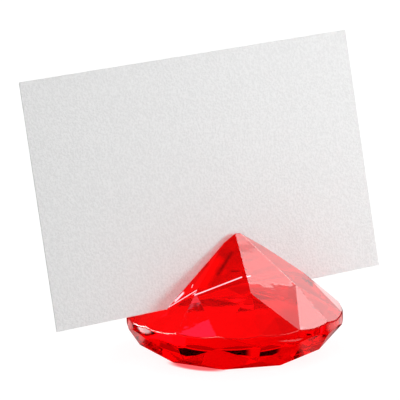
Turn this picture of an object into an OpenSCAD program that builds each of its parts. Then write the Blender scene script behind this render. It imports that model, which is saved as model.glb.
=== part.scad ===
// Place card holder in the shape of a cut gem, with the card that stands in it.
// The gem is a brilliant turned upside down: it stands on its wide flat face and its
// point is on top, with a leaning slit sawn across it from side to side.
// Origin: centre of the flat face that it stands on. X runs along the slit, +Z is up,
// and the face of the card looks towards -Y.

/* [Gem] */
// Diameter of the gem across its girdle
gem_d = 49; // [40:0.5:64]
// Height of the girdle band, measured at the corners of the facets
girdle_h = 2.8; // [2:0.1:4]
// Height of the pointed part above the girdle
point_h = 19.4; // [17:0.1:26]
// Height of the flat part below the girdle
crown_h = 6.7; // [5:0.1:9]
// Diameter of the flat face underneath, across its corners
table_d = 34.2; // [26:0.2:36]
// How far out the tips of the star facets lie, from the flat face's corners to the girdle
star_tip_share = 0.67; // [0.55:0.01:0.75]
// How far out the main facets of the pointed part are widest, from the axis to the girdle
kite_share = 0.66; // [0.55:0.01:0.78]
// How far inside the girdle's edge the tips of the main facets and the bezels end
tip_inset = 0.15; // [0.1:0.05:0.5]
// Turn of the facets against the slit, in degrees
facet_turn = 4.5; // [0:0.5:22.5]

/* [Slit] */
// Width of the slit that holds the card
slit_w = 1.6; // [1.2:0.1:2.4]
// Depth of the slit, measured along it from the level of the point
slit_depth = 16.2; // [13:0.1:17]
// How far the slit leans back, in degrees
slit_lean = 6.5; // [0:0.5:10]
// Distance from the axis of the gem forward to the front wall of the slit, level with the point
slit_front = 1.4; // [0.4:0.1:1.5]

/* [Card] */
// Width of the card
card_w = 85; // [70:0.5:100]
// Height of the card
card_h = 55; // [45:0.5:70]
// Thickness of the card
card_t = 0.4; // [0.25:0.05:0.6]
// How far the middle of the card stands to the right of the gem's axis
card_shift = -4.8; // [-12:0.1:6]
// How far the card's right end is raised, in degrees
card_tilt = 2.3; // [0:0.1:4]
// Gap left between the card and each wall of the slit
card_gap = 0.05; // [0.02:0.01:0.1]

/* [Hidden] */
$fn = 180;

// Eight main facets, and a pair of half facets between each two of them
mains = 8;
halves = 2 * mains;
half_step = 180 / mains;
quarter_step = half_step / 2;

gem_r = gem_d / 2;
table_r = table_d / 2;
girdle_top = crown_h + girdle_h;
gem_h = girdle_top + point_h;

// Length by which a cut runs past what it cuts, and the length of the facet prisms
overrun = girdle_h;
prism_l = 2 * gem_d;

// How steeply each ring of facets falls, as height over radius. The facets of the pointed
// part meet in the corner of the kite, and those of the flat part at the tips of the stars.
main_fall = point_h / gem_r;
kite_r = kite_share * gem_r;
kite_z = main_fall * (gem_r - kite_r * cos(half_step));
tip_r = gem_r - tip_inset;
half_fall = (kite_z - main_fall * tip_inset) / ((tip_r - kite_r) * cos(quarter_step));
bezel_fall = crown_h / (gem_r - table_r);
star_r = table_r + star_tip_share * (gem_r - table_r);
star_drop = bezel_fall * (gem_r - star_r * cos(half_step));
skirt_fall = (star_drop - bezel_fall * tip_inset) / ((tip_r - star_r) * cos(quarter_step));
star_fall = (crown_h - star_drop) / (star_r - table_r * cos(half_step));

// Radii at which the half facets and the skirt facets pass the girdle's edges
halves_r = tip_r * cos(quarter_step) + main_fall * tip_inset / half_fall;
skirts_r = tip_r * cos(quarter_step) + bezel_fall * tip_inset / skirt_fall;

// The card stands on the slit's front lower corner and leans on the top of its rear wall
slit_floor_r = gem_r * slit_depth / point_h;
card_lean = atan2(slit_w - card_t - 2 * card_gap, slit_depth);

// Outline of a body that two opposite facets above the girdle and the two below them
// bound. They pass through the girdle's upper and lower edge at these radii.
function spindle(upper_r, lower_r, rise, fall) =
    let (
        foot = lower_r - (crown_h + overrun) / fall,
        widest = (girdle_h + upper_r * rise + lower_r * fall) / (rise + fall),
        widest_z = crown_h + (widest - lower_r) * fall
    )
    [
        [-foot, -overrun],
        [foot, -overrun],
        [widest, widest_z],
        [0, girdle_top + upper_r * rise],
        [-widest, widest_z]
    ];

// Outline of a body that two opposite star facets bound, open wide above them
function star_bowl() =
    let (
        foot = table_r * cos(half_step) - overrun / star_fall,
        rim = gem_r + overrun
    )
    [
        [-foot, -overrun],
        [foot, -overrun],
        [rim, (rim - foot) * star_fall - overrun],
        [rim, gem_h + overrun],
        [-rim, gem_h + overrun],
        [-rim, (rim - foot) * star_fall - overrun]
    ];

// A ring of equal flat facets round the axis. Opposite facets share one straight prism,
// and what all the prisms have in common has the whole ring.
module facet_ring(count, turn, outline) {
    intersection_for(i = [0 : count / 2 - 1])
        rotate([90, 0, turn + i * 360 / count])
            linear_extrude(height = prism_l, center = true)
                polygon(outline);
}

// The slit's own frame: its origin is level with the point, and its Z runs up the slit
module in_slit() {
    translate([0, 0, gem_h])
        rotate([-slit_lean, 0, 0])
            children();
}

module slit() {
    in_slit()
        translate([-gem_r - overrun, -slit_front, -slit_depth])
            cube([gem_d + 2 * overrun, slit_w, slit_depth + overrun]);
}

// The cut gem: every facet is a flat cut into a round blank, so the girdle stays round
// and both its edges run in scallops. The stars come first, then the main facets with the
// bezels below them, then the half facets above and below the girdle.
module brilliant() {
    intersection() {
        cylinder(h = gem_h + overrun, r = gem_r);
        facet_ring(mains, facet_turn + half_step, star_bowl());
        facet_ring(mains, facet_turn, spindle(gem_r, gem_r, main_fall, bezel_fall));
        facet_ring(halves, facet_turn + quarter_step, spindle(halves_r, skirts_r, half_fall, skirt_fall));
    }
}

// The holder: the gem in one piece, with the slit sawn through it from side to side
module gem_holder() {
    color([0.86, 0.02, 0.05])
        difference() {
            brilliant();
            slit();
        }
}

// The card: its lower edge meets the slit's floor at the left end, where the slit comes
// out of the gem, and its back rests against the top of the rear wall
module place_card() {
    color([0.93, 0.93, 0.92])
        in_slit()
            translate([-slit_floor_r, -slit_front + card_gap + card_t / 2, -slit_depth + card_gap])
                rotate([-card_lean, 0, 0])
                    rotate([0, -card_tilt, 0])
                        translate([slit_floor_r + card_shift - card_w / 2, -card_t / 2, 0])
                            cube([card_w, card_t, card_h]);
}

gem_holder();
place_card();
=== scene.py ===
"""Place card holder: a cut gem of clear red acrylic that stands point up, with a plain
card in the slit that is sawn through its point.

Everything is in metres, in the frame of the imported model. X runs along the slit, the
face of the card looks towards -Y, and the gem stands on its flat face at Z = 0.
"""

import logging
import math
from dataclasses import dataclass
from enum import Enum

import bpy
from mathutils import Matrix, Vector


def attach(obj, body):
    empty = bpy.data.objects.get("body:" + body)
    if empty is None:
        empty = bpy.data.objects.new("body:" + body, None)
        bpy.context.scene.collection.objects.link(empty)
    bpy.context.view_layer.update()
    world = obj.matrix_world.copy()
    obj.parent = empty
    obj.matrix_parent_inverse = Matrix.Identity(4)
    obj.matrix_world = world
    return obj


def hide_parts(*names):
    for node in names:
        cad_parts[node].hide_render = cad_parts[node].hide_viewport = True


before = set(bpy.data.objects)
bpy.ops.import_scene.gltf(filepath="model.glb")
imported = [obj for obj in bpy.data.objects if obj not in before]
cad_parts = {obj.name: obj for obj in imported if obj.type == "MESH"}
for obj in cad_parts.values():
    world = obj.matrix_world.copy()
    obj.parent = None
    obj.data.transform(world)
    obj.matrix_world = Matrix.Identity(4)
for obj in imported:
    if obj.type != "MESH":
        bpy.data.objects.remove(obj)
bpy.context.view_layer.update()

MM = 0.001
WHITE = (1.0, 1.0, 1.0, 1.0)
BLACK = (0.0, 0.0, 0.0, 1.0)
LILAC = (1.0, 0.7, 1.0)
VIOLET = (0.8, 0.3, 1.0)
# The Mix node's sockets for colours, by number
MIX_FACTOR, MIX_FIRST, MIX_SECOND, MIX_RESULT = 0, 6, 7, 2

log = logging.getLogger("place_card_holder")


class Body(Enum):
    """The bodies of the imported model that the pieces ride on."""

    HOLDER = "holder"
    CARD = "card"


class Slot(Enum):
    """The material slots of the record."""

    ACRYLIC = "red_acrylic"
    CARD = "card_stock"


class GemFace(Enum):
    """Which of the gem's surfaces a face belongs to, as its material index."""

    MOULDED = 0
    SAWN = 1
    RIM = 2


def deselect_all() -> None:
    """Leave object mode's selection empty, because the loaded nodes come in selected."""
    bpy.ops.object.select_all(action="DESELECT")


def rename(piece: bpy.types.Object, name: str) -> bpy.types.Object:
    """Give a new object and its mesh one name.

    Args:
        piece: The object.
        name: Its name, also of its mesh.

    Returns:
        The same object.
    """
    piece.name = name
    piece.data.name = name
    return piece


def in_edit_mode(mode: str) -> None:
    """Enter edit mode with everything selected, in the given kind of selection."""
    bpy.ops.object.mode_set(mode="EDIT")
    bpy.ops.mesh.select_mode(type=mode)
    bpy.ops.mesh.select_all(action="SELECT")


def apply_place(piece: bpy.types.Object) -> None:
    """Put an object's place, turn and size into its mesh."""
    deselect_all()
    piece.select_set(True)
    bpy.context.view_layer.objects.active = piece
    bpy.ops.object.transform_apply(location=True, rotation=True, scale=True)


class Nodes:
    """A node tree with short ways to add nodes and wire them."""

    def __init__(self, tree: bpy.types.NodeTree) -> None:
        """Take over a tree and empty it.

        Args:
            tree: The node tree of a material, a world or a group.
        """
        self.tree = tree
        self.tree.nodes.clear()

    def add(self, kind: str, **values: object) -> bpy.types.Node:
        """Add a node.

        Args:
            kind: The node's type, such as ShaderNodeMath.
            **values: Attributes to set on it.

        Returns:
            The new node.
        """
        node = self.tree.nodes.new(kind)
        for name, value in values.items():
            setattr(node, name, value)
        return node

    def wire(self, source: bpy.types.NodeSocket, target: bpy.types.NodeSocket) -> None:
        """Link one socket to another."""
        self.tree.links.new(source, target)

    def give(self, value: object, target: bpy.types.NodeSocket) -> None:
        """Give an input its value: link a socket to it, or write a number or a colour."""
        if isinstance(value, bpy.types.NodeSocket):
            self.wire(value, target)
        else:
            target.default_value = value

    def math(self, operation: str, first: object, second: object) -> bpy.types.NodeSocket:
        """Add a Math node.

        Args:
            operation: Its operation, such as MULTIPLY.
            first: A socket or a number.
            second: A socket or a number.

        Returns:
            The node's output.
        """
        node = self.add("ShaderNodeMath", operation=operation)
        for socket, value in zip(node.inputs, (first, second)):
            self.give(value, socket)
        return node.outputs[0]

    def ramp(
        self,
        value: bpy.types.NodeSocket,
        edge: tuple[float, float],
        ends: tuple[float, float],
        course: str = "SMOOTHSTEP",
    ) -> bpy.types.NodeSocket:
        """Add a step between two levels.

        Args:
            value: The socket that it follows.
            edge: Where the step starts and ends.
            ends: What it puts out before and after.
            course: How it runs between them, LINEAR or SMOOTHSTEP.

        Returns:
            The step's output.
        """
        node = self.add("ShaderNodeMapRange", interpolation_type=course)
        self.wire(value, node.inputs["Value"])
        for name, number in zip(("From Min", "From Max", "To Min", "To Max"), edge + ends):
            node.inputs[name].default_value = number
        return node.outputs["Result"]

    def mix_colour(
        self, factor: object, first: object, second: object, blend: str = "MIX"
    ) -> bpy.types.NodeSocket:
        """Mix two colours, each given as a socket or as a plain colour.

        Args:
            factor: A socket or a number, which says how much of the second colour shows.
            first: The colour at 0.
            second: The colour at 1.
            blend: How the second colour goes over the first, such as MULTIPLY.

        Returns:
            The mixed colour.
        """
        node = self.add("ShaderNodeMix", data_type="RGBA", blend_type=blend)
        for value, index in ((factor, MIX_FACTOR), (first, MIX_FIRST), (second, MIX_SECOND)):
            self.give(value, node.inputs[index])
        return node.outputs[MIX_RESULT]


def mottle_group() -> bpy.types.NodeTree:
    """Build the uneven, fine-grained pattern that the acrylic and the card both show.

    Returns:
        The node group, with a coarse and a fine size and a detail level as inputs, and
        with the two patterns and their mean as outputs, all from 0 to 1.
    """
    group = bpy.data.node_groups.new("mottle", "ShaderNodeTree")
    face = group.interface
    face.new_socket("Vector", in_out="INPUT", socket_type="NodeSocketVector")
    for name, value in (("Coarse Scale", 100.0), ("Fine Scale", 900.0), ("Detail", 3.0)):
        face.new_socket(name, in_out="INPUT", socket_type="NodeSocketFloat").default_value = value
    for name in ("Coarse", "Fine", "Both"):
        face.new_socket(name, in_out="OUTPUT", socket_type="NodeSocketFloat")
    nodes = Nodes(group)
    given = nodes.add("NodeGroupInput")
    result = nodes.add("NodeGroupOutput")
    patterns = []
    for name in ("Coarse", "Fine"):
        noise = nodes.add("ShaderNodeTexNoise")
        nodes.wire(given.outputs["Vector"], noise.inputs["Vector"])
        nodes.wire(given.outputs[f"{name} Scale"], noise.inputs["Scale"])
        nodes.wire(given.outputs["Detail"], noise.inputs["Detail"])
        nodes.wire(noise.outputs["Fac"], result.inputs[name])
        patterns.append(noise.outputs["Fac"])
    both = nodes.math("MULTIPLY", nodes.math("ADD", *patterns), 0.5)
    nodes.wire(both, result.inputs["Both"])
    return group


@dataclass(frozen=True)
class Mottle:
    """Settings of the mottle group in one material, as pattern sizes in metres."""

    coarse: float
    fine: float
    detail: float = 3.0
    stretch: tuple[float, float, float] = (1.0, 1.0, 1.0)

    def place(self, nodes: Nodes, group: bpy.types.NodeTree) -> bpy.types.Node:
        """Put the group into a material, on Object coordinates.

        Args:
            nodes: The material's nodes.
            group: The mottle group.

        Returns:
            The group's node.
        """
        where = nodes.add("ShaderNodeTexCoord")
        mapping = nodes.add("ShaderNodeMapping")
        mapping.inputs["Scale"].default_value = self.stretch
        nodes.wire(where.outputs["Object"], mapping.inputs["Vector"])
        node = nodes.add("ShaderNodeGroup", node_tree=group)
        nodes.wire(mapping.outputs["Vector"], node.inputs["Vector"])
        node.inputs["Coarse Scale"].default_value = 1.0 / self.coarse
        node.inputs["Fine Scale"].default_value = 1.0 / self.fine
        node.inputs["Detail"].default_value = self.detail
        return node


@dataclass(frozen=True)
class WallMark:
    """A soft-edged stroke on the slit's front wall, used for painted shade and painted light.

    It is given on the wall, where X runs along the slit and Z up it from the level of
    the point, by its middle, half its length and half its width. The tilt is in degrees,
    and the depth says how far off the wall it still shows.
    """

    x: float
    z: float
    half_length: float
    half_width: float
    colour: tuple[float, float, float, float]
    tilt: float = 0.0
    blur: float = 0.1 * MM
    depth: float = 0.15 * MM

    def mask(self, nodes: Nodes, wall: Matrix) -> bpy.types.NodeSocket:
        """Put the stroke into a material, on Object coordinates.

        Args:
            nodes: The material's nodes.
            wall: The frame of the wall.

        Returns:
            1 on the stroke, 0 away from it.
        """
        lies = Matrix.Translation((self.x, 0.0, self.z))
        lies = wall @ lies @ Matrix.Rotation(-math.radians(self.tilt), 4, "Y")
        where = nodes.add("ShaderNodeTexCoord")
        mapping = nodes.add("ShaderNodeMapping", vector_type="TEXTURE")
        mapping.inputs["Location"].default_value = lies.to_translation()
        mapping.inputs["Rotation"].default_value = lies.to_euler()
        nodes.wire(where.outputs["Object"], mapping.inputs["Vector"])
        split = nodes.add("ShaderNodeSeparateXYZ")
        nodes.wire(mapping.outputs["Vector"], split.inputs["Vector"])
        shown = 1.0
        for axis, half in (("X", self.half_length), ("Y", self.depth), ("Z", self.half_width)):
            off = nodes.math("ABSOLUTE", split.outputs[axis], 0.0)
            edge = (half - min(self.blur, half), half + self.blur)
            shown = nodes.math("MULTIPLY", nodes.ramp(off, edge, (1.0, 0.0)), shown)
        return shown

    def paint(self, nodes: Nodes, wall: Matrix, ground: object) -> bpy.types.NodeSocket:
        """Put the stroke over a colour.

        Args:
            nodes: The material's nodes.
            wall: The frame of the wall.
            ground: The socket or the plain colour under the stroke.

        Returns:
            The colour with the stroke on it.
        """
        return nodes.mix_colour(self.mask(nodes, wall), ground, self.colour)


@dataclass(frozen=True)
class RedAcrylic:
    """Clear red acrylic: clean and glossy where it was moulded, dull where it was sawn."""

    name: str
    thin_colour: tuple[float, float, float, float]
    deep_colour: tuple[float, float, float, float]
    lamp_colour: tuple[float, float, float, float]
    smooth: float
    dull: float
    wave_height: float
    pattern: Mottle
    cloud_edge: tuple[float, float] = (0.35, 0.65)
    dull_edge: tuple[float, float] = (0.35, 0.75)
    index: float = 1.49
    clearness: float = 1.0
    # Dark strokes of painted shade on the slit's front wall, seen through the gem as dark streaks.
    painted_shade_strokes: tuple[WallMark, ...] = ()
    # Strokes of painted light: the wall glows there for rays seen through the gem, as a painted
    # highlight and a painted red glow.
    painted_gleams: tuple[WallMark, ...] = ()

    def make(self, group: bpy.types.NodeTree, wall: Matrix) -> bpy.types.Material:
        """Build the material.

        Args:
            group: The mottle group.
            wall: The frame of the slit's front wall.

        Returns:
            The material.
        """
        material = bpy.data.materials.new(self.name)
        material.use_nodes = True
        nodes = Nodes(material.node_tree)
        mottle = self.pattern.place(nodes, group)
        shader = nodes.add("ShaderNodeBsdfPrincipled")
        cloud = nodes.ramp(mottle.outputs["Coarse"], self.cloud_edge, (0.0, 1.0))
        colour = nodes.mix_colour(cloud, self.deep_colour, self.thin_colour)
        # Painted shade: dark strokes laid over the wall's base colour.
        for shade_stroke in self.painted_shade_strokes:
            colour = shade_stroke.paint(nodes, wall, colour)
        nodes.wire(colour, shader.inputs["Base Color"])
        rough = nodes.ramp(mottle.outputs["Fine"], self.dull_edge, (self.smooth, self.dull), "LINEAR")
        nodes.wire(rough, shader.inputs["Roughness"])
        shader.inputs["IOR"].default_value = self.index
        shader.inputs["Transmission Weight"].default_value = self.clearness
        bump = nodes.add("ShaderNodeBump")
        bump.inputs["Strength"].default_value = 1.0
        bump.inputs["Distance"].default_value = self.wave_height
        nodes.wire(mottle.outputs["Coarse"], bump.inputs["Height"])
        nodes.wire(bump.outputs["Normal"], shader.inputs["Normal"])
        ray = nodes.add("ShaderNodeLightPath")
        # Painted light: the strokes glow only for rays that come through the gem.
        if self.painted_gleams:
            glow = BLACK
            for painted_gleam in self.painted_gleams:
                glow = painted_gleam.paint(nodes, wall, glow)
            inside = nodes.mix_colour(ray.outputs["Is Transmission Ray"], BLACK, glow)
            nodes.wire(inside, shader.inputs["Emission Color"])
            shader.inputs["Emission Strength"].default_value = 1.0
        lit_through = nodes.add("ShaderNodeBsdfTransparent")
        lit_through.inputs["Color"].default_value = self.lamp_colour
        mix = nodes.add("ShaderNodeMixShader")
        nodes.wire(ray.outputs["Is Shadow Ray"], mix.inputs["Fac"])
        nodes.wire(shader.outputs["BSDF"], mix.inputs[1])
        nodes.wire(lit_through.outputs["BSDF"], mix.inputs[2])
        output = nodes.add("ShaderNodeOutputMaterial")
        nodes.wire(mix.outputs["Shader"], output.inputs["Surface"])
        return material


@dataclass(frozen=True)
class CardStock:
    """White felt-marked card: fine soft grain, hardly any gloss."""

    name: str
    light: tuple[float, float, float, float]
    dark: tuple[float, float, float, float]
    roughness: float
    grain_height: float
    pattern: Mottle
    grain_edge: tuple[float, float] = (0.36, 0.64)
    rough_spread: float = 0.1
    gloss: float = 0.3

    def make(self, group: bpy.types.NodeTree) -> bpy.types.Material:
        """Build the material.

        Args:
            group: The mottle group.

        Returns:
            The material.
        """
        material = bpy.data.materials.new(self.name)
        material.use_nodes = True
        nodes = Nodes(material.node_tree)
        mottle = self.pattern.place(nodes, group)
        shader = nodes.add("ShaderNodeBsdfPrincipled")
        grain = nodes.ramp(mottle.outputs["Both"], self.grain_edge, (0.0, 1.0))
        colour = nodes.mix_colour(grain, self.dark, self.light)
        nodes.wire(colour, shader.inputs["Base Color"])
        spread = nodes.math("MULTIPLY", mottle.outputs["Fine"], self.rough_spread)
        nodes.wire(nodes.math("ADD", spread, self.roughness), shader.inputs["Roughness"])
        shader.inputs["Specular IOR Level"].default_value = self.gloss
        bump = nodes.add("ShaderNodeBump")
        bump.inputs["Distance"].default_value = self.grain_height
        nodes.wire(grain, bump.inputs["Height"])
        nodes.wire(bump.outputs["Normal"], shader.inputs["Normal"])
        output = nodes.add("ShaderNodeOutputMaterial")
        nodes.wire(shader.outputs["BSDF"], output.inputs["Surface"])
        return material


@dataclass(frozen=True)
class FacetRing:
    """A ring of equal flat facets round the gem's axis.

    The first one looks along the turn, in degrees. They pass through the height at the
    radius and fall outwards by the slope, or rise outwards where the slope is negative.
    """

    count: int
    turn: float
    radius: float
    height: float
    slope: float

    def planes(self) -> list[tuple[Vector, Vector]]:
        """List the facets' planes.

        Returns:
            A point of each plane, and its normal, which points out of the gem.
        """
        found = []
        for i in range(self.count):
            angle = math.radians(self.turn + i * 360.0 / self.count)
            out = Vector((math.cos(angle), math.sin(angle), 0.0))
            point = out * self.radius + Vector((0.0, 0.0, self.height))
            up = 1.0 if self.slope > 0 else -1.0
            normal = (out * abs(self.slope) + Vector((0.0, 0.0, up))).normalized()
            found.append((point, normal))
        return found


@dataclass
class GemHolder:
    """The holder: a round brilliant turned point up, with the slit sawn through it.

    The sizes come first. The values from sharp_from on tell the mesh's edges and faces
    apart: the least angle at an edge in degrees, parts of a normal, and how far off a
    wall a face may lie.
    """

    gem_r: float = 24.5 * MM
    girdle_h: float = 2.8 * MM
    point_h: float = 19.4 * MM
    crown_h: float = 6.7 * MM
    table_r: float = 17.1 * MM
    star_tip_share: float = 0.67
    kite_share: float = 0.66
    facet_turn: float = 4.5
    mains: int = 8
    girdle_sides: int = 320
    slit_w: float = 1.6 * MM
    slit_depth: float = 16.2 * MM
    slit_lean: float = 6.5
    slit_front: float = 1.4 * MM
    edge_r: float = 0.12 * MM
    girdle_edge_r: float = 0.4 * MM
    mouth_edge_r: float = 0.5 * MM
    edge_segments: int = 3
    flat_weight: int = 80
    sliver: float = 0.002 * MM
    cut_threshold: float = 0.0001 * MM
    sharp_from: float = 4.0
    upward: float = 0.5
    upright: float = 0.01
    along_wall: float = 0.999
    wall_reach: float = 0.012 * MM
    end_on: float = 0.2
    rim_facing: tuple[float, float] = (0.12, 0.99)
    rim_upward: float = 0.1

    @property
    def girdle_top(self) -> float:
        """Height of the girdle's upper edge, at the tips of the main facets."""
        return self.crown_h + self.girdle_h

    @property
    def gem_h(self) -> float:
        """Height of the point."""
        return self.girdle_top + self.point_h

    def rings(self) -> list[FacetRing]:
        """Work out the five rings of facets from the gem's proportions.

        Returns:
            Stars, bezels, main facets, and the half facets below and above the girdle.
        """
        half_step = 180.0 / self.mains
        quarter_step = half_step / 2
        half_cos = math.cos(math.radians(half_step))
        quarter_cos = math.cos(math.radians(quarter_step))
        main_fall = self.point_h / self.gem_r
        kite_r = self.kite_share * self.gem_r
        kite_z = main_fall * (self.gem_r - kite_r * half_cos)
        half_fall = kite_z / ((self.gem_r - kite_r) * quarter_cos)
        bezel_fall = self.crown_h / (self.gem_r - self.table_r)
        star_r = self.table_r + self.star_tip_share * (self.gem_r - self.table_r)
        star_drop = bezel_fall * (self.gem_r - star_r * half_cos)
        skirt_fall = star_drop / ((self.gem_r - star_r) * quarter_cos)
        star_fall = (self.crown_h - star_drop) / (star_r - self.table_r * half_cos)
        between = self.facet_turn + half_step
        beside = self.facet_turn + quarter_step
        tips_r = self.gem_r * quarter_cos
        return [
            FacetRing(self.mains, between, self.table_r * half_cos, 0.0, -star_fall),
            FacetRing(self.mains, self.facet_turn, self.gem_r, self.crown_h, -bezel_fall),
            FacetRing(self.mains, self.facet_turn, self.gem_r, self.girdle_top, main_fall),
            FacetRing(2 * self.mains, beside, tips_r, self.crown_h, -skirt_fall),
            FacetRing(2 * self.mains, beside, tips_r, self.girdle_top, half_fall),
        ]

    def add_blank(self) -> bpy.types.Object:
        """Add the round blank that the gem is cut from.

        Returns:
            The blank, with one of its corners under the tip of a main facet.
        """
        deselect_all()
        bpy.ops.mesh.primitive_cylinder_add(
            vertices=self.girdle_sides,
            radius=self.gem_r,
            depth=self.gem_h,
            location=(0.0, 0.0, self.gem_h / 2),
            rotation=(0.0, 0.0, math.radians(self.facet_turn)),
        )
        blank = rename(bpy.context.active_object, "cut_gem")
        apply_place(blank)
        return blank

    def cut_facets(self) -> None:
        """Cut every facet into the active blank and close each cut with a face."""
        in_edit_mode("VERT")
        for ring in self.rings():
            for point, normal in ring.planes():
                bpy.ops.mesh.select_all(action="SELECT")
                bpy.ops.mesh.bisect(
                    plane_co=point,
                    plane_no=normal,
                    use_fill=True,
                    clear_outer=True,
                    threshold=self.cut_threshold,
                )
        bpy.ops.mesh.select_all(action="SELECT")
        bpy.ops.mesh.remove_doubles(threshold=self.sliver)
        bpy.ops.mesh.normals_make_consistent(inside=False)
        bpy.ops.object.mode_set(mode="OBJECT")

    def slit_frame(self) -> Matrix:
        """Give the slit's own frame: its origin is level with the point, Z runs up it."""
        up = Matrix.Translation((0.0, 0.0, self.gem_h))
        return up @ Matrix.Rotation(math.radians(-self.slit_lean), 4, "X")

    def front_wall(self) -> Matrix:
        """Give the frame of the slit's front wall: level with the point, Z runs up it."""
        return self.slit_frame() @ Matrix.Translation((0.0, -self.slit_front, 0.0))

    def add_saw_cut(self) -> bpy.types.Object:
        """Add the box that the saw takes away.

        Returns:
            The box, which runs past the gem at its top and at both ends.
        """
        past = self.girdle_h
        size = Vector((2 * (self.gem_r + past), self.slit_w, self.slit_depth + past))
        middle = Vector((0.0, self.slit_w / 2 - self.slit_front, (past - self.slit_depth) / 2))
        deselect_all()
        bpy.ops.mesh.primitive_cube_add(size=1.0)
        cut = rename(bpy.context.active_object, "saw_cut")
        cut.matrix_world = (
            self.slit_frame() @ Matrix.Translation(middle) @ Matrix.Diagonal(size).to_4x4()
        )
        apply_place(cut)
        return cut

    def saw_slit(self, gem: bpy.types.Object) -> None:
        """Saw the slit through the gem.

        Args:
            gem: The cut gem.
        """
        cut = self.add_saw_cut()
        modifier = gem.modifiers.new("slit", "BOOLEAN")
        modifier.object = cut
        modifier.operation = "DIFFERENCE"
        modifier.solver = "EXACT"
        deselect_all()
        gem.select_set(True)
        bpy.context.view_layer.objects.active = gem
        bpy.ops.object.modifier_apply(modifier=modifier.name)
        bpy.data.objects.remove(cut)
        in_edit_mode("VERT")
        bpy.ops.mesh.remove_doubles(threshold=self.sliver)
        bpy.ops.object.mode_set(mode="OBJECT")

    def weigh_edges(self, gem: bpy.types.Object) -> None:
        """Say how round each edge becomes: most at the slit's mouth and the girdle.

        Args:
            gem: The gem with its slit.
        """
        mesh = gem.data
        across = self.slit_frame().to_3x3() @ Vector((0.0, 1.0, 0.0))
        normals: dict[tuple[int, int], list[Vector]] = {}
        for face in mesh.polygons:
            for key in face.edge_keys:
                normals.setdefault(key, []).append(face.normal)
        weights = mesh.attributes.new("bevel_weight_edge", "FLOAT", "EDGE")
        for edge in mesh.edges:
            sides = normals[edge.key]
            if len(sides) != 2 or sides[0].angle(sides[1]) < math.radians(self.sharp_from):
                continue
            upper = max(side.z for side in sides) > self.upward
            width = self.edge_r
            if upper and min(abs(side.z) for side in sides) < self.upright:
                width = self.girdle_edge_r
            elif upper and any(abs(side.dot(across)) > self.along_wall for side in sides):
                width = self.mouth_edge_r
            weights.data[edge.index].value = width / self.mouth_edge_r

    def soften_edges(self, gem: bpy.types.Object) -> None:
        """Round the edges between the facets, as they come out of a mould.

        Args:
            gem: The gem with its slit.
        """
        bpy.ops.object.shade_smooth()
        self.weigh_edges(gem)
        bevel = gem.modifiers.new("soft_edges", "BEVEL")
        bevel.width = self.mouth_edge_r
        bevel.segments = self.edge_segments
        bevel.limit_method = "WEIGHT"
        bevel.use_clamp_overlap = True
        bpy.ops.object.modifier_apply(modifier=bevel.name)
        flat = gem.modifiers.new("flat_facets", "WEIGHTED_NORMAL")
        flat.mode = "FACE_AREA"
        flat.weight = self.flat_weight
        flat.keep_sharp = False
        bpy.ops.object.modifier_apply(modifier=flat.name)

    def sawn_faces(self, gem: bpy.types.Object) -> list[bpy.types.MeshPolygon]:
        """Find the walls and the floor of the slit by their place.

        Args:
            gem: The finished gem.

        Returns:
            The faces that lie inside the saw cut.
        """
        to_slit = self.slit_frame().inverted()
        front = -self.slit_front - self.wall_reach
        rear = self.slit_w - self.slit_front + self.wall_reach
        floor = -self.slit_depth - self.wall_reach
        found = []
        for face in gem.data.polygons:
            place = to_slit @ face.center
            flat = abs((to_slit.to_3x3() @ face.normal).x) < self.end_on
            if flat and front < place.y < rear and floor < place.z < 0.0:
                found.append(face)
        return found

    def rim_faces(self, gem: bpy.types.Object) -> list[bpy.types.MeshPolygon]:
        """Find the rounded edges of the slit's mouth by their place and their turn.

        Args:
            gem: The finished gem.

        Returns:
            The faces between the slit's walls and the facets.
        """
        to_slit = self.slit_frame().inverted()
        least, most = self.rim_facing
        found = []
        for face in gem.data.polygons:
            place = to_slit @ face.center
            turn = to_slit.to_3x3() @ face.normal
            off = -self.slit_front - place.y
            facing = turn.y
            if place.y > 0.0:
                off = place.y + self.slit_front - self.slit_w
                facing = -turn.y
            rounded = least < facing < most and turn.z > self.rim_upward
            if rounded and 0.0 < off < self.mouth_edge_r:
                found.append(face)
        return found

    def build(self, finishes: dict[GemFace, bpy.types.Material]) -> bpy.types.Object:
        """Make the holder and dress it.

        Args:
            finishes: The materials of the facets, of the slit and of its rim.

        Returns:
            The holder.
        """
        gem = self.add_blank()
        self.cut_facets()
        self.saw_slit(gem)
        self.soften_edges(gem)
        for kind in GemFace:
            gem.data.materials.append(finishes[kind])
        rim = self.rim_faces(gem)
        for face in self.sawn_faces(gem):
            face.material_index = GemFace.SAWN.value
        for face in rim:
            face.material_index = GemFace.RIM.value
        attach(gem, Body.HOLDER.value)
        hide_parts("gem_holder")
        log.info("%s: %d faces, %d on the rim", gem.name, len(gem.data.polygons), len(rim))
        return gem


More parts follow.
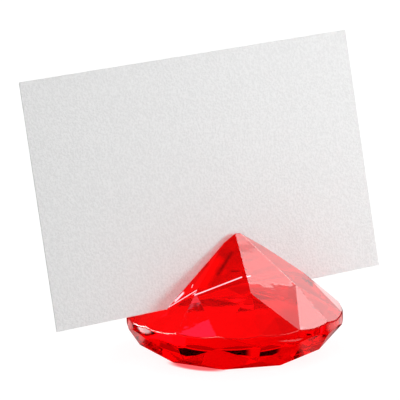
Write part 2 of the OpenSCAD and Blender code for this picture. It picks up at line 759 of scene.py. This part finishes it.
@dataclass
class PlaceCard:
    """The card that stands in the slit, its left end on the slit's floor.

    The shift moves it along the slit, the tilt raises its right end, in degrees, and the
    gap is its room to the slit's walls and floor. The gem's facets don't mirror it.
    """

    holder: GemHolder
    width: float = 85.0 * MM
    height: float = 55.0 * MM
    thickness: float = 0.4 * MM
    shift: float = -4.8 * MM
    tilt: float = 2.3
    gap: float = 0.05 * MM
    edge_r: float = 0.06 * MM
    edge_segments: int = 2
    smooth_angle: float = 30.0

    def place(self) -> Matrix:
        """Give the card's own frame: X along its width, Z up it, its foot at Z = 0."""
        gem = self.holder
        floor_r = gem.gem_r * gem.slit_depth / gem.point_h
        lean = math.atan2(gem.slit_w - self.thickness - 2 * self.gap, gem.slit_depth)
        foot = Vector(
            (-floor_r, self.gap + self.thickness / 2 - gem.slit_front, self.gap - gem.slit_depth)
        )
        return (
            gem.slit_frame()
            @ Matrix.Translation(foot)
            @ Matrix.Rotation(-lean, 4, "X")
            @ Matrix.Rotation(-math.radians(self.tilt), 4, "Y")
            @ Matrix.Translation((floor_r + self.shift, 0.0, 0.0))
        )

    def build(self, stock: bpy.types.Material) -> bpy.types.Object:
        """Make the card and dress it.

        Args:
            stock: The card's material.

        Returns:
            The card.
        """
        deselect_all()
        bpy.ops.mesh.primitive_cube_add(size=1.0, location=(0.0, 0.0, 0.0))
        card = rename(bpy.context.active_object, "card")
        size = Vector((self.width, self.thickness, self.height))
        lift = Matrix.Translation((0.0, 0.0, self.height / 2))
        card.matrix_world = self.place() @ lift @ Matrix.Diagonal(size).to_4x4()
        apply_place(card)
        bevel = card.modifiers.new("cut_edges", "BEVEL")
        bevel.width = self.edge_r
        bevel.segments = self.edge_segments
        bpy.ops.object.modifier_apply(modifier=bevel.name)
        bpy.ops.object.shade_smooth_by_angle(angle=math.radians(self.smooth_angle))
        card.data.materials.append(stock)
        card.visible_glossy = False
        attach(card, Body.CARD.value)
        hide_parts("place_card")
        log.info("%s: %d faces", card.name, len(card.data.polygons))
        return card


@dataclass(frozen=True)
class SoftBox:
    """A rectangular area lamp that looks at the gem, given by where it hangs round it.

    Its angles are in degrees. An upright one stands like a window, one for gloss only
    shows in nothing else, and one for matt surfaces only isn't seen in or through the gem.
    """

    name: str
    azimuth: float
    elevation: float
    distance: float
    width: float
    height: float
    radiance: float
    colour: tuple[float, float, float] = (1.0, 1.0, 1.0)
    upright: bool = False
    gloss_only: bool = False
    matt_only: bool = False

    def build(self, aim: Vector) -> bpy.types.Object:
        """Hang the lamp.

        Args:
            aim: The point that it looks at.

        Returns:
            The lamp.
        """
        light = bpy.data.lights.new(self.name, "AREA")
        light.shape = "RECTANGLE"
        light.size = self.width
        light.size_y = self.height
        light.energy = self.radiance * math.pi * self.width * self.height
        light.color = self.colour
        lamp = bpy.data.objects.new(self.name, light)
        bpy.context.scene.collection.objects.link(lamp)
        turn, rise = math.radians(self.azimuth), math.radians(self.elevation)
        away = Vector(
            (math.cos(rise) * math.cos(turn), math.cos(rise) * math.sin(turn), math.sin(rise))
        )
        lamp.location = aim + away * self.distance
        if self.upright:
            away.z = 0.0
        lamp.rotation_euler = away.to_track_quat("Z", "Y").to_euler()
        lamp.visible_camera = False
        lamp.visible_diffuse = not self.gloss_only
        lamp.visible_glossy = not self.matt_only
        lamp.visible_transmission = not (self.gloss_only or self.matt_only)
        return lamp


@dataclass(frozen=True)
class Camera:
    """The camera: it looks at a point beside the gem's axis, given as the camera sees it.

    The aim is so far to the right of the axis and so far up. The angles are in degrees,
    and the lens and the sensor in millimetres.
    """

    azimuth: float = -30.568
    elevation: float = 11.923
    roll: float = -1.124
    distance: float = 688.861 * MM
    aim_x: float = -7.336 * MM
    aim_z: float = 35.066 * MM
    lens: float = 275.71
    sensor: float = 36.0
    clip_start: float = 10.0 * MM

    def build(self) -> bpy.types.Object:
        """Add the camera and make it the scene's.

        Returns:
            The camera.
        """
        rise, roll = math.radians(self.elevation), math.radians(self.roll)
        right = Vector((1.0, 0.0, 0.0))
        ahead = Vector((0.0, math.cos(rise), -math.sin(rise)))
        up = Vector((0.0, math.sin(rise), math.cos(rise)))
        across = math.cos(roll) * right + math.sin(roll) * up
        upward = math.cos(roll) * up - math.sin(roll) * right
        eye = Vector((self.aim_x, 0.0, self.aim_z)) - self.distance * ahead
        pose = Matrix((across, upward, -ahead)).transposed().to_4x4()
        pose.translation = eye
        data = bpy.data.cameras.new("camera")
        data.lens = self.lens
        data.sensor_width = self.sensor
        data.clip_start = self.clip_start
        camera = bpy.data.objects.new("camera", data)
        bpy.context.scene.collection.objects.link(camera)
        camera.matrix_world = Matrix.Rotation(math.radians(self.azimuth), 4, "Z") @ pose
        bpy.context.scene.camera = camera
        return camera


@dataclass(frozen=True)
class FloorPatch:
    """A soft-edged ellipse on the floor, by its middle, its half axes and its turn.

    The turn is in degrees. Its level falls between two parts of the half axes.
    """

    x: float
    y: float
    half_x: float
    half_y: float
    level: float = 1.0
    turn: float = 0.0
    edge: tuple[float, float] = (0.6, 1.1)

    def mask(self, nodes: Nodes) -> bpy.types.NodeSocket:
        """Put the patch into the floor's material, on Object coordinates.

        Args:
            nodes: The material's nodes.

        Returns:
            Its level on the patch, 0 away from it.
        """
        where = nodes.add("ShaderNodeTexCoord")
        lies = nodes.add("ShaderNodeMapping", vector_type="TEXTURE")
        lies.inputs["Location"].default_value = (self.x, self.y, 0.0)
        lies.inputs["Rotation"].default_value = (0.0, 0.0, math.radians(self.turn))
        lies.inputs["Scale"].default_value = (self.half_x, self.half_y, 1.0)
        nodes.wire(where.outputs["Object"], lies.inputs["Vector"])
        off = nodes.add("ShaderNodeVectorMath", operation="LENGTH")
        nodes.wire(lies.outputs["Vector"], off.inputs[0])
        return nodes.ramp(off.outputs["Value"], self.edge, (self.level, 0.0))


@dataclass
class Studio:
    """The pale floor, the soft lamps and the white surroundings.

    Levels come in pairs, before and after an edge. The floor and the surroundings have
    one level for each kind of ray: seen directly, mirrored, seen through the gem, and as
    light on matt surfaces. The mirrored patches show only in the gem's facets, and the
    red patch is the light that falls through the gem. The room's parts are dark: each is
    given by its azimuth and half its width, in degrees. Edges of the surroundings are
    parts of a direction's length.
    """

    floor_half: float = 3.0
    floor_drop: float = 0.05 * MM
    floor_white: float = 0.8
    floor_shade: float = 0.22
    camera_glow: float = 0.9
    glass_glow: tuple[float, float] = (0.76, 0.96)
    glass_edge: tuple[float, float] = (0.022, 0.027)
    mirror_glow: tuple[float, float] = (0.0, 0.5)
    mirror_edge: tuple[float, float] = (0.1, 0.25)
    mirrored_patches: tuple[FloorPatch, ...] = (
        FloorPatch(-21.0 * MM, 18.0 * MM, 8.0 * MM, 8.0 * MM, level=0.42, edge=(0.3, 1.2)),
        FloorPatch(22.0 * MM, -11.0 * MM, 8.0 * MM, 8.0 * MM, level=0.35),
        FloorPatch(11.5 * MM, -20.0 * MM, 5.0 * MM, 5.0 * MM, level=0.16),
        FloorPatch(45.5 * MM, -9.0 * MM, 10.0 * MM, 18.0 * MM, level=1.0),
        FloorPatch(-46.0 * MM, 28.1 * MM, 11.0 * MM, 5.4 * MM, level=6.0, turn=51.3),
        FloorPatch(-23.0 * MM, 38.0 * MM, 8.0 * MM, 8.0 * MM, level=0.7),
        FloorPatch(197.0 * MM, 178.0 * MM, 110.0 * MM, 50.0 * MM, level=0.9, turn=50.0),
        FloorPatch(14.2 * MM, -49.6 * MM, 11.0 * MM, 1.3 * MM, level=2.0, turn=24.6),
    )
    red_light: tuple[float, float, float, float] = (1.0, 0.15, 0.17, 1.0)
    red_patch: FloorPatch = FloorPatch(
        -14.2 * MM, -6.8 * MM, 7.5 * MM, 3.3 * MM, turn=-66.2, edge=(0.65, 1.15)
    )
    ambient: float = 0.13
    surround: float = 1.0
    mirrored: float = 0.08
    room_top: tuple[float, float] = (0.104, 0.116)
    room_foot: tuple[float, float] = (0.046, 0.054)
    room_parts: tuple[tuple[float, float], ...] = ((43.5, 5.5), (58.0, 4.5), (71.5, 3.5))
    room_blur: float = 1.0
    rear: float = 0.58
    rear_azimuth: float = 125.0
    rear_edge: tuple[float, float] = (0.4, 0.8)
    zenith: float = 0.7
    zenith_edge: tuple[float, float] = (0.82, 0.95)
    dim: float = 0.5
    dim_azimuth: float = 245.0
    dim_edge: tuple[float, float] = (0.8, 0.95)
    lamps: tuple[SoftBox, ...] = (
        SoftBox("window", 7.4, 44.65, 1.266, 0.272, 0.481, 6.6, upright=True),
        SoftBox("window_top", 7.4, 57.43, 1.673, 0.272, 0.559, 4.2, upright=True),
        SoftBox("left_pane", 359.67, 57.2, 1.677, 0.0275, 0.559, 1.6, upright=True, gloss_only=True),
        SoftBox("right_pane", 8.45, 57.43, 1.673, 0.239, 0.559, 1.6, upright=True, gloss_only=True),
        SoftBox("window_side", 351.6, 52.4, 1.476, 0.23, 1.04, 2.3, upright=True),
        SoftBox("right_wall", 23.5, 20.0, 1.1, 0.28, 0.34, 2.3, upright=True, gloss_only=True),
        SoftBox("rear_wall", 38.0, 10.0, 1.1, 0.28, 0.38, 1.25, upright=True, gloss_only=True),
        SoftBox("front_right", 308.0, 42.0, 0.8, 0.26, 0.26, 3.0),
        SoftBox("low_right", 320.0, 6.0, 1.6, 0.64, 0.32, 23.0, matt_only=True),
        SoftBox("ridge_light", 22.0, 36.0, 1.1, 0.36, 0.3, 11.0, gloss_only=True),
        SoftBox("front_left", 215.0, 36.0, 0.9, 0.45, 0.45, 3.9),
        SoftBox("rear_fill", 95.0, 30.0, 1.4, 0.8, 0.8, 3.6, matt_only=True),
        SoftBox("left_low", 119.0, 13.0, 1.1, 0.48, 0.2, 25.0, gloss_only=True),
        SoftBox("left_high", 152.0, 24.0, 1.1, 0.74, 0.2, 25.0, gloss_only=True),
        SoftBox("skylight", 152.8, 66.0, 1.1, 0.05, 0.5, 1.2, LILAC, upright=True, gloss_only=True),
        SoftBox(
            "skylight_side", 161.0, 66.0, 1.1, 0.055, 0.5, 1.0, VIOLET, upright=True, gloss_only=True
        ),
    )
    lamp_aim: tuple[float, float, float] = (0.0, 0.0, 20.0 * MM)
    bounces: int = 32
    through_bounces: int = 24
    mirror_bounces: int = 12
    clear_bounces: int = 12
    clamp: float = 6.0

    def floor_material(self) -> bpy.types.Material:
        """Make the floor's white, with a soft shadow and the red light of the gem on it.

        Returns:
            The floor's material.
        """
        material = bpy.data.materials.new("white_floor")
        material.use_nodes = True
        nodes = Nodes(material.node_tree)
        ray = nodes.add("ShaderNodeLightPath")
        where = nodes.add("ShaderNodeTexCoord")
        away = nodes.add("ShaderNodeVectorMath", operation="LENGTH")
        nodes.wire(where.outputs["Object"], away.inputs[0])
        glow = nodes.add("ShaderNodeEmission")
        mirrored = nodes.ramp(away.outputs["Value"], self.mirror_edge, self.mirror_glow)
        for patch in self.mirrored_patches:
            mirrored = nodes.math("ADD", mirrored, patch.mask(nodes))
        through = nodes.ramp(away.outputs["Value"], self.glass_edge, self.glass_glow)
        kinds = (
            (ray.outputs["Is Camera Ray"], self.camera_glow),
            (ray.outputs["Is Transmission Ray"], through),
            (ray.outputs["Is Glossy Ray"], mirrored),
        )
        strength = 0.0
        for kind, level in kinds:
            strength = nodes.math("ADD", nodes.math("MULTIPLY", kind, level), strength)
        nodes.wire(strength, glow.inputs["Strength"])
        tint = nodes.mix_colour(self.red_patch.mask(nodes), WHITE, self.red_light)
        nodes.wire(tint, glow.inputs["Color"])
        paper = nodes.add("ShaderNodeBsdfDiffuse")
        shade = nodes.mix_colour(
            ray.outputs["Is Diffuse Ray"],
            (self.floor_shade,) * 3 + (1.0,),
            (self.floor_white,) * 3 + (1.0,),
        )
        dim = nodes.mix_colour(ray.outputs["Is Glossy Ray"], shade, BLACK)
        nodes.wire(nodes.mix_colour(1.0, dim, tint, "MULTIPLY"), paper.inputs["Color"])
        both = nodes.add("ShaderNodeAddShader")
        nodes.wire(paper.outputs["BSDF"], both.inputs[0])
        nodes.wire(glow.outputs["Emission"], both.inputs[1])
        output = nodes.add("ShaderNodeOutputMaterial")
        nodes.wire(both.outputs["Shader"], output.inputs["Surface"])
        return material

    def add_floor(self) -> bpy.types.Object:
        """Lay the floor just under the gem.

        Returns:
            The floor.
        """
        deselect_all()
        bpy.ops.mesh.primitive_plane_add(
            size=2 * self.floor_half, location=(0.0, 0.0, -self.floor_drop)
        )
        floor = rename(bpy.context.active_object, "floor")
        apply_place(floor)
        floor.data.materials.append(self.floor_material())
        return floor

    def room(self, nodes: Nodes, split: bpy.types.Node) -> bpy.types.NodeSocket:
        """Make the dark things that stand far off, low behind the gem.

        Args:
            nodes: The world's nodes.
            split: The node that gives the direction's X, Y and Z.

        Returns:
            0 where the surroundings are dark, 1 where they aren't.
        """
        azimuth = nodes.math("ARCTAN2", split.outputs["Y"], split.outputs["X"])
        dark = 0.0
        for middle, half in self.room_parts:
            aside = nodes.math("SUBTRACT", azimuth, math.radians(middle))
            aside = nodes.math("ABSOLUTE", aside, 0.0)
            edge = (math.radians(half - self.room_blur), math.radians(half + self.room_blur))
            dark = nodes.math("ADD", nodes.ramp(aside, edge, (1.0, 0.0)), dark)
        above = nodes.ramp(split.outputs["Z"], self.room_foot, (0.0, 1.0))
        below = nodes.ramp(split.outputs["Z"], self.room_top, (1.0, 0.0))
        dark = nodes.math("MULTIPLY", dark, nodes.math("MULTIPLY", above, below))
        return nodes.math("SUBTRACT", 1.0, dark)

    def add_world(self) -> None:
        """Make the surroundings: white round the object, dark straight above it."""
        world = bpy.data.worlds.new("surroundings")
        bpy.context.scene.world = world
        world.use_nodes = True
        nodes = Nodes(world.node_tree)
        where = nodes.add("ShaderNodeTexCoord")
        split = nodes.add("ShaderNodeSeparateXYZ")
        nodes.wire(where.outputs["Generated"], split.inputs["Vector"])
        room = self.room(nodes, split)
        zenith = nodes.ramp(split.outputs["Z"], self.zenith_edge, (1.0, self.zenith))
        seen = nodes.math("MULTIPLY", room, zenith)
        sides = (
            (self.dim_azimuth, self.dim_edge, self.dim),
            (self.rear_azimuth, self.rear_edge, self.rear),
        )
        for azimuth, edge, level in sides:
            towards = nodes.add("ShaderNodeVectorMath", operation="DOT_PRODUCT")
            nodes.wire(where.outputs["Generated"], towards.inputs[0])
            turn = math.radians(azimuth)
            towards.inputs[1].default_value = (math.cos(turn), math.sin(turn), 0.0)
            side = nodes.ramp(towards.outputs["Value"], edge, (1.0, level))
            seen = nodes.math("MULTIPLY", seen, side)
        ray = nodes.add("ShaderNodeLightPath")
        parts = (
            (ray.outputs["Is Camera Ray"], 1.0),
            (ray.outputs["Is Transmission Ray"], nodes.math("MULTIPLY", seen, self.surround)),
            (ray.outputs["Is Glossy Ray"], nodes.math("MULTIPLY", seen, self.mirrored)),
            (ray.outputs["Is Diffuse Ray"], self.ambient),
        )
        total = 0.0
        for kind, level in parts:
            total = nodes.math("ADD", nodes.math("MULTIPLY", kind, level), total)
        sky = nodes.add("ShaderNodeBackground")
        sky.inputs["Color"].default_value = WHITE
        nodes.wire(total, sky.inputs["Strength"])
        output = nodes.add("ShaderNodeOutputWorld")
        nodes.wire(sky.outputs["Background"], output.inputs["Surface"])

    def set_rendering(self) -> None:
        """Let light find its way through the gem, and show colours as they are."""
        scene = bpy.context.scene
        scene.view_settings.view_transform = "Standard"
        scene.cycles.max_bounces = self.bounces
        scene.cycles.transmission_bounces = self.through_bounces
        scene.cycles.glossy_bounces = self.mirror_bounces
        scene.cycles.transparent_max_bounces = self.clear_bounces
        scene.cycles.caustics_reflective = False
        scene.cycles.caustics_refractive = True
        scene.cycles.sample_clamp_indirect = self.clamp

    def build(self) -> None:
        """Set the whole studio up."""
        self.add_floor()
        self.add_world()
        for box in self.lamps:
            box.build(Vector(self.lamp_aim))
        self.set_rendering()
        log.info("studio: %d lamps", len(self.lamps))


# The strokes' colours: painted shade, a painted red glow, and a painted highlight that glows on the
# wall. The highlight is seen through the dye, so it is written far above 1
PAINTED_SHADE = (0.12, 0.0, 0.0, 1.0)
PAINTED_GLOW = (0.4, 0.0, 0.0, 1.0)
PAINTED_GLEAM = (1.0, 34.0, 26.0, 1.0)

FACETS = RedAcrylic(
    name="moulded_red_acrylic",
    thin_colour=(1.0, 0.0008, 0.0018, 1.0),
    deep_colour=(0.94, 0.0004, 0.001, 1.0),
    lamp_colour=(0.84, 0.16, 0.18, 1.0),
    smooth=0.0,
    dull=0.03,
    wave_height=0.01 * MM,
    pattern=Mottle(coarse=9.0 * MM, fine=1.2 * MM),
)
# The sawn walls: their own dull mottled finish, plus strokes of painted shade and painted light on
# the front wall.
SAW_MARKS_PAINTED_SHADE_AND_LIGHT = RedAcrylic(
    name="sawn_red_acrylic",
    thin_colour=(1.0, 0.02, 0.03, 1.0),
    deep_colour=(0.62, 0.01, 0.02, 1.0),
    lamp_colour=(0.84, 0.16, 0.18, 1.0),
    smooth=0.05,
    dull=0.2,
    wave_height=0.01 * MM,
    pattern=Mottle(coarse=2.6 * MM, fine=0.3 * MM, stretch=(0.3, 1.0, 1.0)),
    # Painted shade: dark strokes that show through the gem as dark streaks.
    painted_shade_strokes=(
        WallMark(-3.6 * MM, -9.1 * MM, 3.4 * MM, 0.6 * MM, PAINTED_SHADE, tilt=53.0, blur=0.6 * MM),
        WallMark(-1.0 * MM, -12.1 * MM, 1.2 * MM, 0.12 * MM, PAINTED_SHADE, tilt=-12.0, blur=0.3 * MM),
    ),
    # Painted light: a red glow and thin white highlights that glow on the wall.
    painted_gleams=(
        WallMark(-7.4 * MM, -10.6 * MM, 4.6 * MM, 1.2 * MM, PAINTED_GLOW, tilt=53.0, blur=1.0 * MM),
        WallMark(-15.0 * MM, -15.62 * MM, 6.0 * MM, 0.14 * MM, PAINTED_GLEAM, tilt=4.0, blur=0.06 * MM),
        WallMark(-4.2 * MM, -14.7 * MM, 5.0 * MM, 0.14 * MM, PAINTED_GLEAM, tilt=5.7, blur=0.06 * MM),
        WallMark(-15.8 * MM, -14.3 * MM, 1.5 * MM, 0.4 * MM, PAINTED_GLEAM, tilt=31.0, blur=0.3 * MM),
        WallMark(-11.8 * MM, -12.9 * MM, 0.5 * MM, 0.1 * MM, PAINTED_GLEAM, tilt=80.0, blur=0.1 * MM),
    ),
)
SAWN_RIM = RedAcrylic(
    name="frosted_red_acrylic",
    thin_colour=(1.0, 0.82, 0.84, 1.0),
    deep_colour=(1.0, 0.66, 0.7, 1.0),
    lamp_colour=(0.84, 0.16, 0.18, 1.0),
    smooth=0.1,
    dull=0.25,
    wave_height=0.01 * MM,
    pattern=Mottle(coarse=1.4 * MM, fine=0.3 * MM),
    clearness=0.1,
)
CARD = CardStock(
    name="white_felt_card",
    light=(0.88, 0.88, 0.88, 1.0),
    dark=(0.815, 0.815, 0.815, 1.0),
    roughness=0.75,
    grain_height=0.04 * MM,
    pattern=Mottle(coarse=0.62 * MM, fine=0.4 * MM, detail=2.0),
)


def main() -> None:
    """Build the camera, the studio and the pieces, in that order."""
    logging.basicConfig(level=logging.INFO, format="%(name)s %(message)s")
    Camera().build()
    Studio().build()
    group = mottle_group()
    holder = GemHolder()
    wall = holder.front_wall()
    looks = {GemFace.MOULDED: FACETS, GemFace.SAWN: SAW_MARKS_PAINTED_SHADE_AND_LIGHT, GemFace.RIM: SAWN_RIM}
    holder.build({kind: look.make(group, wall) for kind, look in looks.items()})
    PlaceCard(holder).build(CARD.make(group))


if __name__ == "__main__":
    main()
